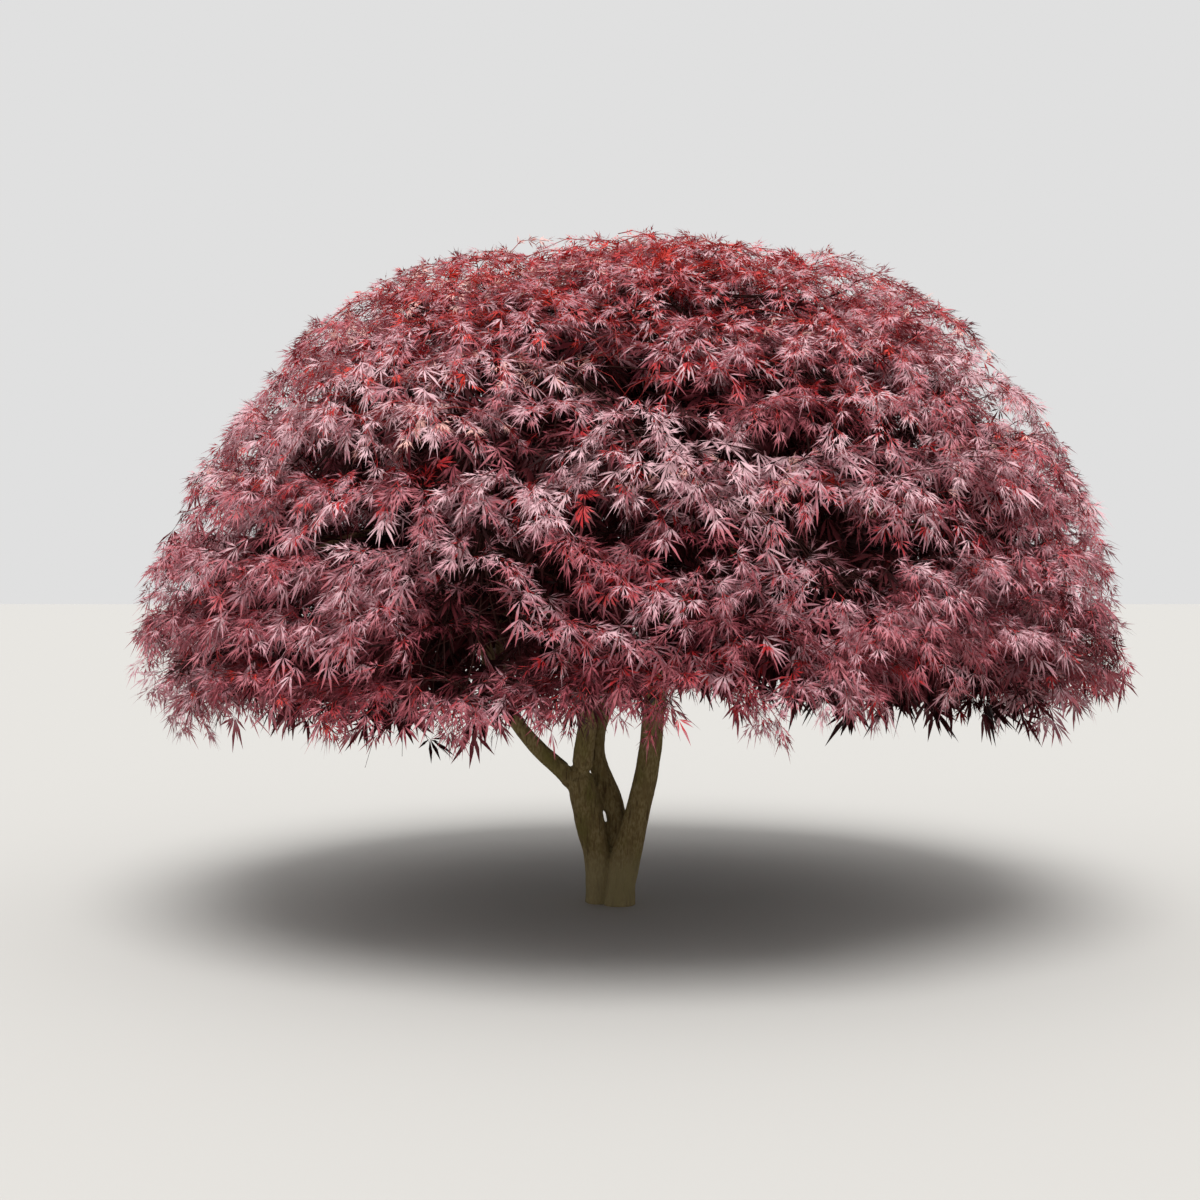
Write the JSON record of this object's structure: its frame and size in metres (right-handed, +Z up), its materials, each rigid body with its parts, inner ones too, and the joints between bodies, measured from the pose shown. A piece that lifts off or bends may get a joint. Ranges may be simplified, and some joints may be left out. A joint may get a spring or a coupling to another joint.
{
  "type": "weeping cut-leaved Japanese maple tree",
  "caption": "Small garden tree with a short forked trunk and a wide weeping dome of dark red, finely cut leaves in drooping layers.",
  "frame": {"origin": "on the ground, under the middle of the trunk's foot", "axes": "+Z straight up, +X to the right of the tree's best side, which faces -Y"},
  "size_m": [3.6429, 3.4503, 2.5427],
  "materials": {
    "bark": "grey-brown bark, finely fissured, with a mossy cast",
    "young_bark": "smooth dark red-brown bark of boughs and twigs",
    "foliage": "soft matt leaf, plum to mauve, paler where it catches the sky",
    "new_growth": "thin bright red new leaf with a slight gloss"
  },
  "bodies": {
    "root": {"bough_crown_top": "young_bark", "bough_middle_1": "young_bark", "bough_middle_2": "young_bark", "bough_middle_3": "young_bark", "bough_middle_4": "young_bark", "bough_middle_5": "young_bark", "bough_middle_6": "young_bark", "bough_middle_7": "young_bark", "bough_middle_8": "young_bark", "bough_skirt_1": "young_bark", "bough_skirt_2": "young_bark", "bough_skirt_3": "young_bark", "bough_skirt_4": "young_bark", "bough_skirt_5": "young_bark", "bough_skirt_6": "young_bark", "bough_skirt_7": "young_bark", "bough_skirt_8": "young_bark", "bough_skirt_9": "young_bark", "bough_upper_1": "young_bark", "bough_upper_2": "young_bark", "bough_upper_3": "young_bark", "bough_upper_4": "young_bark", "bough_upper_5": "young_bark", "foliage_crown_top": "new_growth", "foliage_middle_1": "foliage", "foliage_middle_2": "foliage", "foliage_middle_3": "foliage", "foliage_middle_4": "foliage", "foliage_middle_5": "foliage", "foliage_middle_6": "foliage", "foliage_middle_7": "foliage", "foliage_middle_8": "foliage", "foliage_skirt_1": "foliage", "foliage_skirt_2": "foliage", "foliage_skirt_3": "foliage", "foliage_skirt_4": "foliage", "foliage_skirt_5": "foliage", "foliage_skirt_6": "foliage", "foliage_skirt_7": "foliage", "foliage_skirt_8": "foliage", "foliage_skirt_9": "foliage", "foliage_upper_1": "foliage", "foliage_upper_2": "foliage", "foliage_upper_3": "foliage", "foliage_upper_4": "foliage", "foliage_upper_5": "foliage", "stem_back": "bark", "stem_front": "bark", "stem_left": "bark", "stem_low_left": "bark", "stem_right": "bark", "trunk": "bark"}
  },
  "joints": []
}
